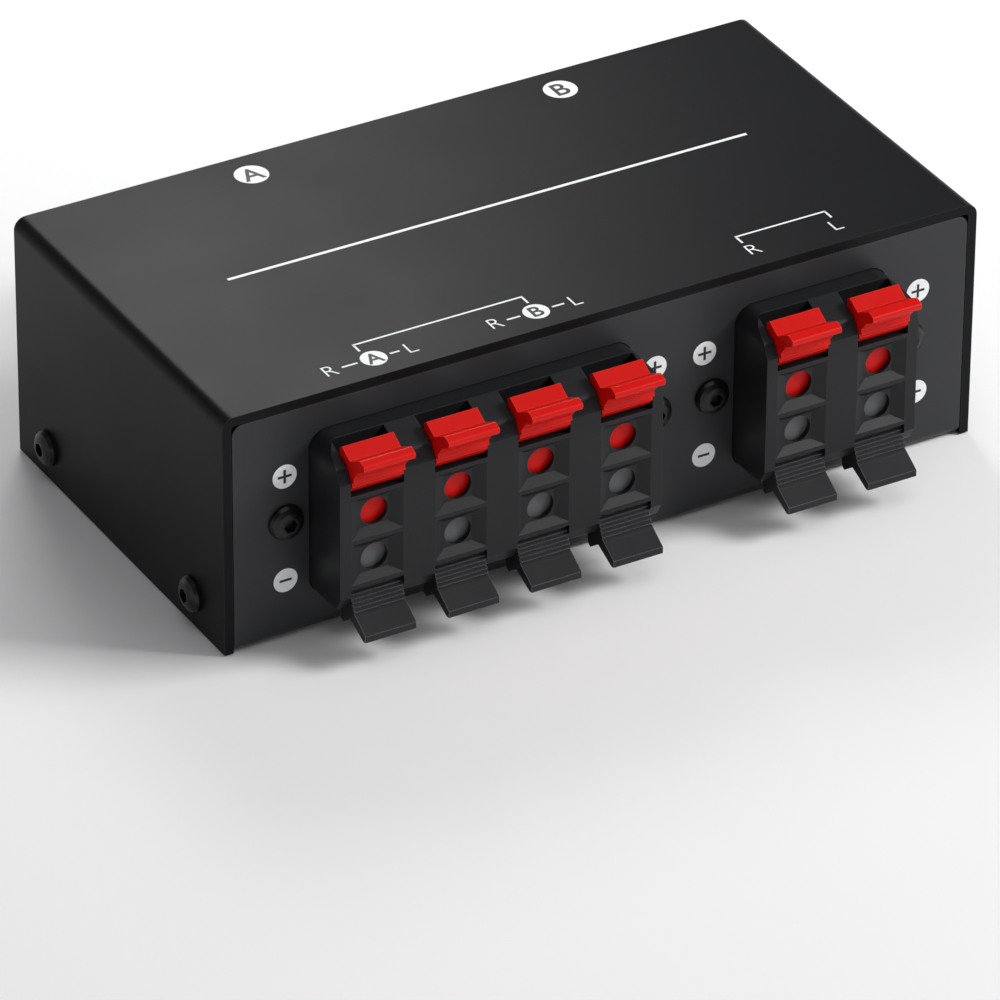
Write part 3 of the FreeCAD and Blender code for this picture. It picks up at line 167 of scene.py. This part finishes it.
def steel_black_oxide():
    """Blackened screw steel."""
    made, tree, shader = material("steel_black_oxide", "#141415", 0.33, 0.35)
    # Edges get a painted highlight.
    painted_edge_highlight(tree, shader, 0.12, "#121213", "#2c2c2e")
    bumps(tree, shader, [(noise(tree, 0.5, 3.0), 0.01, 0.3)])
    return made


def mottled_metal(name, color, rough, dark, light, patch, grain, deep):
    """Plated metal with soft patches and a fine grain."""
    made, tree, shader = material(name, color, rough, 1.0)
    tint(tree, shader, noise(tree, patch, 3.0), dark, light)
    bumps(tree, shader, [(noise(tree, grain, 3.0), deep, 0.3)])
    return made


def plastic_black(name, color, light, rough):
    """Moulded black plastic with a fine sparked grain."""
    made, tree, shader = material(name, color, rough, gloss=0.25)
    # Edges get a painted highlight.
    painted_edge_highlight(tree, shader, 0.12, color, light)
    vary_rough(tree, shader, noise(tree, 6.0), rough - 0.05, rough + 0.07)
    bumps(tree, shader, [(noise(tree, 0.22, 3.0, 0.6), 0.004, 0.3)])
    return made


def tongue_painted_highlight(made, front_mm, low_mm, color):
    """A lighter colour behind a depth and above a height: a painted highlight on the tongue inside the
    housing.
    """
    tree = made.node_tree
    shader = tree.nodes["Principled BSDF"]
    before = shader.inputs["Base Color"].links[0].from_socket
    split = add(tree, "ShaderNodeSeparateXYZ", links={"Vector": place(tree)})
    behind = add(tree, "ShaderNodeMath", settings={"operation": "LESS_THAN"}, inputs={1: front_mm * MM},
                 links={0: split.outputs["Y"]})
    above = add(tree, "ShaderNodeMath", settings={"operation": "GREATER_THAN"}, inputs={1: low_mm * MM},
                links={0: split.outputs["Z"]})
    highlight_mask = add(tree, "ShaderNodeMath", settings={"operation": "MULTIPLY"},
               links={0: behind.outputs[0], 1: above.outputs[0]})
    tree.links.new(blend(tree, highlight_mask.outputs[0], before, linear(color)), shader.inputs["Base Color"])


def plastic_red():
    """Glossy red lever plastic."""
    made, tree, shader = material("plastic_red_lever", "#cc0c05", 0.36, gloss=0.18)
    # Edges get a painted highlight.
    painted_edge_highlight(tree, shader, 0.2, "#cc0b04", "#e63a28")
    vary_rough(tree, shader, noise(tree, 4.0), 0.3, 0.4)
    bumps(tree, shader, [(noise(tree, 0.3, 2.0), 0.006, 0.3)])
    return made


def phenolic(name, dark, light, rough):
    """Pressed laminate or bakelite with flecks."""
    made, tree, shader = material(name, dark, rough)
    tint(tree, shader, noise(tree, 0.9, 4.0, 0.65), dark, light)
    bumps(tree, shader, [(noise(tree, 0.4, 3.0), 0.01, 0.3)])
    return made


def nickel():
    """Bright nickel with fine turning marks."""
    made, tree, shader = material("nickel_plated", "#cfc9c1", 0.16, 1.0)
    tint(tree, shader, noise(tree, 3.5, 3.0), "#bcb6ae", "#d8d3cc")
    vary_rough(tree, shader, noise(tree, 1.2, 3.0), 0.12, 0.24)
    bumps(tree, shader, [(noise(tree, 0.25, 3.0), 0.003, 0.25)])
    return made


def plain(name, color, rough, metal, grain, detail, deep):
    """One colour with a fine grain."""
    made, tree, shader = material(name, color, rough, metal)
    bumps(tree, shader, [(noise(tree, grain, detail), deep, 0.3)])
    return made


def ink_white():
    """Screen printed white, a little uneven."""
    made, tree, shader = material("ink_white", "#f1f2f2", 0.5)
    tint(tree, shader, noise(tree, 0.5, 2.0), "#e9eaea", "#f7f8f8")
    bumps(tree, shader, [(noise(tree, 0.2, 2.0), 0.004, 0.3)])
    return made


def ink_dark():
    """The dark letters and signs on the white discs."""
    made, tree, shader = material("ink_gap_dark", "#151618", 0.5)
    bumps(tree, shader, [(noise(tree, 0.35, 3.0), 0.006, 0.35)])
    return made


LOOKS = {
    "satin_black_paint": paint_satin_black("paint_black_lid", "#101113", "#28292c", 0.1),
    "black_screw": steel_black_oxide(),
    "zinc_steel": mottled_metal("steel_zinc", "#b9bab4", 0.34, "#a9aaa6", "#c9c9c0", 3.0, 0.3, 0.006),
    "black_housing": plastic_black("plastic_black_housing", "#1a1b1d", "#38393c", 0.42),
    "black_lever": plastic_black("plastic_black_lever", "#1f2022", "#7c7d81", 0.33),
    "red_lever": plastic_red(),
    "phenolic_board": phenolic("phenolic_brown", "#5e361d", "#7d4c2a", 0.45),
    "phenolic_case": phenolic("bakelite_dark", "#1d1512", "#2b201b", 0.35),
    "tinned_brass": mottled_metal("brass_tinned", "#c9c0a2", 0.3, "#b9ad88", "#d3ccb4", 2.0, 0.5, 0.005),
    "nickel": nickel(),
    "spring_steel": plain("steel_spring", "#b5b5b5", 0.22, 1.0, 0.3, 2.0, 0.003),
    "red_wire": plain("vinyl_red", "#b3120c", 0.42, 0.0, 0.6, 3.0, 0.01),
    "black_wire": plain("vinyl_black", "#161617", 0.42, 0.0, 0.6, 3.0, 0.01),
}
# The tongue seen inside the housing gets a lighter colour: a painted highlight.
tongue_painted_highlight(LOOKS["black_lever"], TONGUE_FRONT, TONGUE_LOW, "#5b5c5f")
WHITE = ink_white()
DARK = ink_dark()


def dress(node, look):
    """Give a CAD node one material."""
    node.data.materials.clear()
    node.data.materials.append(look)


for part in frame["record"]["subparts"]:
    dress(frame["nodes"][part["node"]], LOOKS[part["material_slot"]])

# The chassis gets a lighter copy of the lid's paint, to come nearer to the photograph's rear panel; the
# real panel has the lid's paint, so the lighter tone is painted light
dress(frame["nodes"]["chassis"], paint_satin_black("paint_black_chassis_painted_light", "#2c2d30", "#3d3e41", 0.3))


# Print: flat pieces a hair above the paint. A face's axes are its right and its up

TOP_AXES = (Vector((-1, 0, 0)), Vector((0, -1, 0)))
REAR_AXES = (Vector((-1, 0, 0)), Vector((0, 0, 1)))
FRONT_AXES = (Vector((1, 0, 0)), Vector((0, 0, 1)))


def print_piece(piece, spot, axes, lift, look):
    """Lay a flat piece on a face, lifted by a little, and let it ride on the box."""
    right, up = axes
    out = right.cross(up)
    turn = Matrix((right, up, out)).transposed().to_4x4()
    piece.matrix_world = Matrix.Translation((Vector(spot) + out * lift) * MM) @ turn
    piece.data.materials.append(look)
    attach(piece, "enclosure")


def linked(name, mesh):
    """A new object in the scene."""
    piece = bpy.data.objects.new(name, mesh)
    bpy.context.collection.objects.link(piece)
    return piece


def shape(name, rings, thick=INK_THICK):
    """A thin flat mesh from closed outlines in millimetres."""
    mesh = bpy.data.meshes.new(name)
    work = bmesh.new()
    for ring in rings:
        low = [work.verts.new((x * MM, y * MM, 0)) for x, y in ring]
        high = [work.verts.new((x * MM, y * MM, thick * MM)) for x, y in ring]
        work.faces.new(high)
        work.faces.new(list(reversed(low)))
        for i in range(len(ring)):
            j = (i + 1) % len(ring)
            work.faces.new((low[i], low[j], high[j], high[i]))
    work.to_mesh(mesh)
    work.free()
    return linked(name, mesh)


def bar(a, b, thick):
    """Outline of a straight stroke between two points."""
    (ax, ay), (bx, by) = a, b
    long = math.hypot(bx - ax, by - ay)
    nx, ny = -(by - ay) / long * thick / 2, (bx - ax) / long * thick / 2
    return [(ax - nx, ay - ny), (bx - nx, by - ny), (bx + nx, by + ny), (ax + nx, ay + ny)]


def disc_ring(radius, steps=48):
    """Outline of a disc."""
    turns = [2 * math.pi * i / steps for i in range(steps)]
    return [(radius * math.cos(turn), radius * math.sin(turn)) for turn in turns]


def letters(name, text, spot, axes, tall, look=WHITE, lift=0.0, weight=0.0):
    """Sans letters of a capital height, centred on a spot. Weight makes the strokes bolder."""
    curve = bpy.data.curves.new(name, "FONT")
    curve.body = text
    curve.size = tall / CAPITAL_SHARE * MM
    curve.align_x = "CENTER"
    curve.align_y = "CENTER"
    curve.extrude = LETTER_THICK * MM
    curve.offset = weight * MM
    curve.resolution_u = 6
    made = linked(name, curve)
    bpy.context.view_layer.update()
    mesh = bpy.data.meshes.new_from_object(made.evaluated_get(bpy.context.evaluated_depsgraph_get()))
    bpy.data.objects.remove(made)
    xs = [v.co.x for v in mesh.vertices]
    ys = [v.co.y for v in mesh.vertices]
    middle = Vector(((min(xs) + max(xs)) / 2, (min(ys) + max(ys)) / 2, 0))
    for v in mesh.vertices:
        v.co -= middle
    print_piece(linked(name, mesh), spot, axes, LETTER_LIFT + lift, look)


def lines(name, spot, axes, bars):
    """White strokes relative to a spot."""
    print_piece(shape(name, [bar(*one) for one in bars]), spot, axes, INK_LIFT, WHITE)


def badge(name, text, spot, axes, wide, tall):
    """A white disc with a dark letter or sign."""
    print_piece(shape(name + "_disc", [disc_ring(wide / 2)]), spot, axes, INK_LIFT, WHITE)
    if text not in "+-":
        letters(name + "_letter", text, spot, axes, tall, DARK, BADGE_LETTER_LIFT, weight=0.06)
        return
    strokes = [((-tall / 2, 0), (tall / 2, 0), SIGN_STROKE)]
    if text == "+":
        strokes.append(((0, -tall / 2), (0, tall / 2), SIGN_STROKE))
    for number, one in enumerate(strokes):
        sign = shape("%s_sign%d" % (name, number), [bar(*one)], SIGN_THICK)
        print_piece(sign, spot, axes, SIGN_LIFT + SIGN_STEP * number, DARK)


def on_top(x, y):
    """A spot on the lid."""
    return (x, y, TOP)


def channel_letter(name, text, x):
    """A thin R or L on the top."""
    letters(name, text, on_top(x, LETTER_ROW), TOP_AXES, 2.9, weight=-0.05)


def bracket(name, x, y, half):
    """A bracket that opens towards the terminals."""
    leg = 2.0
    end = half + 0.15
    bars = [((-end, 0), (end, 0), STROKE)]
    for side in (-half, half):
        bars.append(((side, 0), (side, -leg), STROKE))
    lines(name, on_top(x, y), TOP_AXES, bars)


def dash(name, mid, half, axes, thick):
    """A level dash about a spot."""
    lines(name, mid, axes, [((-half, 0), (half, 0), thick)])


badge("top_a", "A", on_top(27.0, -27.5), TOP_AXES, 5.4, 3.6)
badge("top_b", "B", on_top(-27.0, -27.5), TOP_AXES, 5.4, 3.6)
dash("top_rule", on_top(0, -1.7), 44.9, TOP_AXES, RULE_STROKE)
bracket("top_bracket_out", 23.55, 23.8, 14.2)
bracket("top_bracket_in", -35.15, 24.2, 7.8)
for tail, right, badge_x, left in (("a", 44.2, 36.9, 30.7), ("b", 16.5, 9.55, 2.9)):
    channel_letter("top_r_" + tail, "R", right)
    channel_letter("top_l_" + tail, "L", left)
    badge("top_out_" + tail, tail.upper(), on_top(badge_x, LETTER_ROW), TOP_AXES, 4.1, 2.8)
    for number, (a, b) in enumerate(((right - 2.0, badge_x + 2.7), (badge_x - 2.7, left + 1.9))):
        mid = on_top((a + b) / 2, LETTER_ROW)
        dash("top_dash_%s%d" % (tail, number), mid, (a - b) / 2, TOP_AXES, STROKE)
channel_letter("top_r_in", "R", -27.8)
channel_letter("top_l_in", "L", -42.3)

for number, x in enumerate((54.3, -8.3, -16.9, -54.4)):
    badge("rear_plus%d" % number, "+", (x, REAR, 27.95), REAR_AXES, 4.0, 2.3)
for number, x in enumerate((54.3, -17.1, -54.6)):
    badge("rear_minus%d" % number, "-", (x, REAR, 10.05), REAR_AXES, 4.0, 2.0)

for number, (a, b) in enumerate(((-39.5, -37.0), (-15.2, -12.9), (13.5, 15.6), (36.1, 38.3))):
    dash("front_dash%d" % number, ((a + b) / 2, FRONT, 20.1), (b - a) / 2, FRONT_AXES, DASH_STROKE)
for number, (text, a, b) in enumerate((
        ("ON", -47.2, -40.8), ("OFF", -11.3, -3.2), ("ON", 5.4, 12.0), ("OFF", 39.9, 48.1))):
    letters("front_word%d" % number, text, ((a + b) / 2, FRONT, 20.5), FRONT_AXES, 3.5)


# Floor, light and camera, in metres

PHOTO_PIXELS = 1000
FLOOR_HALF = 3
FLOOR_DROP = 0.0002  # the floor lies just under the box


def make_floor():
    """A large pale floor."""
    mesh = bpy.data.meshes.new("floor")
    corners = [(x * FLOOR_HALF, y * FLOOR_HALF, 0) for x, y in ((-1, -1), (1, -1), (1, 1), (-1, 1))]
    mesh.from_pydata(corners, [], [(0, 1, 2, 3)])
    floor = linked("floor", mesh)
    floor.location.z = -FLOOR_DROP
    look, _, _ = material("floor_white", "#f4f4f4", 0.9)
    mesh.materials.append(look)


def make_world():
    """A pale horizon under a dark ceiling."""
    world = bpy.data.worlds.new("studio")
    bpy.context.scene.world = world
    world.use_nodes = True
    tree = world.node_tree
    direction = add(tree, "ShaderNodeTexCoord").outputs["Generated"]
    split = add(tree, "ShaderNodeSeparateXYZ", links={"Vector": direction})
    rise = add(tree, "ShaderNodeMapRange", inputs={"From Min": 0.08, "From Max": 0.4},
               links={"Value": split.outputs["Z"]})
    color = blend(tree, rise.outputs["Result"], (0.9, 0.9, 0.91, 1), (0.11, 0.11, 0.12, 1))
    back = tree.nodes["Background"]
    tree.links.new(color, back.inputs["Color"])
    back.inputs["Strength"].default_value = 1.0


def lamp(name, spot, aim, wide, tall, power):
    """A soft rectangular light aimed at a point, in metres and watts."""
    data = bpy.data.lights.new(name, "AREA")
    data.shape = "RECTANGLE"
    data.size = wide
    data.size_y = tall
    data.energy = power
    made = linked(name, data)
    made.location = spot
    made.rotation_euler = (Vector(aim) - Vector(spot)).to_track_quat("-Z", "Y").to_euler()


def make_camera():
    """The photograph's camera, fitted to the straight edges of the box."""
    data = bpy.data.cameras.new("camera")
    data.sensor_width = 36.0
    data.lens = 303.7
    data.clip_start = 0.05
    camera = linked("camera", data)
    right = Vector((-0.86839421, 0.49583643, 0.00614162))
    down = Vector((0.25914448, 0.46434839, -0.8468912))
    ahead = Vector((-0.42277136, -0.73384386, -0.53173073))
    turn = Matrix((right, -down, -ahead)).transposed().to_4x4()
    camera.matrix_world = Matrix.Translation((0.5468, 0.9508, 0.6778)) @ turn
    bpy.context.scene.camera = camera


make_floor()
make_world()
lamp("key_side", (-0.95, 0.55, 0.75), (0, 0, 0), 0.5, 0.5, 16.0)
lamp("key_top", (-0.08, -0.30, 0.28), (0.08, 0.02, 0.04), 0.16, 0.14, 0.6)
lamp("ceiling", (0.0, 0.3, 1.6), (0, 0, 0), 1.4, 1.4, 6.0)
make_camera()

scene = bpy.context.scene
scene.view_settings.view_transform = "Standard"
scene.render.resolution_x = PHOTO_PIXELS
scene.render.resolution_y = PHOTO_PIXELS
